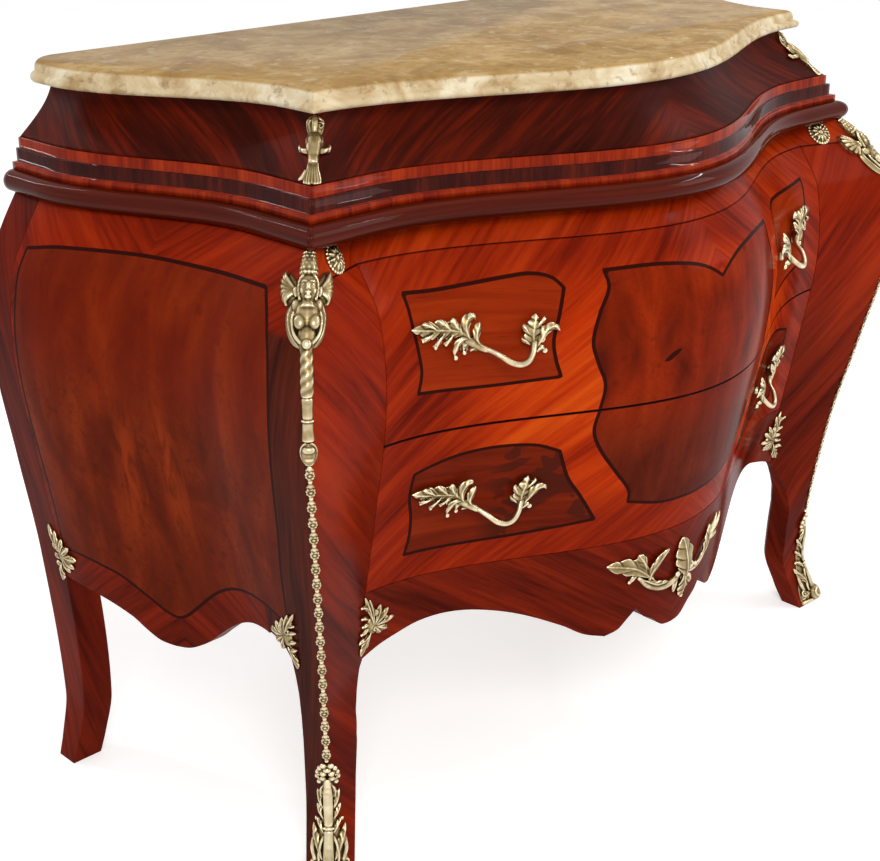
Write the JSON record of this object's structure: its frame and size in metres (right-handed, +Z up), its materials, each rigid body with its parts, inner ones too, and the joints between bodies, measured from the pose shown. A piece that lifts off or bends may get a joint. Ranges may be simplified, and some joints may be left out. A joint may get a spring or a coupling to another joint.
{
  "type": "bombe chest",
  "caption": "Bombe chest of two long bowed drawers: marble top, hollow frieze, swelling veneered case on cabriole legs, cast brass corner mounts and pulls.",
  "frame": {"origin": "on the floor under the middle of the chest", "axes": "+X to the right seen from the front, +Y towards the back, +Z up; the drawers open towards -Y"},
  "size_m": [1.1476, 0.5704, 0.851],
  "materials": {
    "marble": "polished, mottled beige",
    "ormolu": "cast, aged, rubbed bright on the high points",
    "steel": "plain",
    "kingwood_frieze": "dark veneer under high-gloss lacquer",
    "dark_torus": "stained, high-gloss lacquer",
    "banded_veneer": "crossbanded light and dark veneer, high-gloss lacquer",
    "burr_panel": "figured veneer, high-gloss lacquer",
    "tulipwood": "straight-grained veneer laid on the slant, high-gloss lacquer",
    "kingwood_leg": "striped veneer, high-gloss lacquer",
    "carcass_wood": "plain, unfinished"
  },
  "bodies": {
    "case": {"apron_centre_mount": "ormolu", "apron_corner_leaves": "ormolu", "back_bottom_rail": "carcass_wood", "back_panel": "carcass_wood", "back_stile_left": "kingwood_leg", "back_stile_right": "kingwood_leg", "back_top_rail": "carcass_wood", "banded_moulding_front": "banded_veneer", "banded_moulding_side_left": "banded_veneer", "banded_moulding_side_right": "banded_veneer", "bottom_board": "carcass_wood", "corner_busts": "ormolu", "drawer_guides": "carcass_wood", "drawer_stops": "carcass_wood", "dust_board": "carcass_wood", "frieze_corner_mounts": "ormolu", "frieze_front": "kingwood_frieze", "frieze_side_left": "kingwood_frieze", "frieze_side_right": "kingwood_frieze", "front_apron": "tulipwood", "front_stile_left": "kingwood_leg", "front_stile_right": "kingwood_leg", "glue_blocks": "carcass_wood", "kickers": "carcass_wood", "lower_runners": "carcass_wood", "marble_top": "marble", "ridge_chains": "ormolu", "rosettes": "ormolu", "sabots": "ormolu", "side_apron_leaves": "ormolu", "side_apron_left": "tulipwood", "side_apron_right": "tulipwood", "side_panel_left": "burr_panel", "side_panel_right": "burr_panel", "sub_top": "carcass_wood", "top_rail": "tulipwood", "torus_front": "dark_torus", "torus_side_left": "dark_torus", "torus_side_right": "dark_torus", "upper_runners": "carcass_wood"},
    "upper_drawer": {"upper_drawer_back": "carcass_wood", "upper_drawer_bottom": "carcass_wood", "upper_drawer_front": "tulipwood", "upper_drawer_side_left": "carcass_wood", "upper_drawer_side_right": "carcass_wood", "upper_pull_left": "ormolu", "upper_pull_right": "ormolu", "upper_pull_screws": "steel"},
    "lower_drawer": {"lower_drawer_back": "carcass_wood", "lower_drawer_bottom": "carcass_wood", "lower_drawer_front": "tulipwood", "lower_drawer_side_left": "carcass_wood", "lower_drawer_side_right": "carcass_wood", "lower_pull_left": "ormolu", "lower_pull_right": "ormolu", "lower_pull_screws": "steel"}
  },
  "joints": [
    {"name": "upper_drawer_slide", "type": "slide", "parent": "case", "child": "upper_drawer", "axis": [0, -1, 0], "range_m": [0, 0.24]},
    {"name": "lower_drawer_slide", "type": "slide", "parent": "case", "child": "lower_drawer", "axis": [0, -1, 0], "range_m": [0, 0.24]}
  ]
}
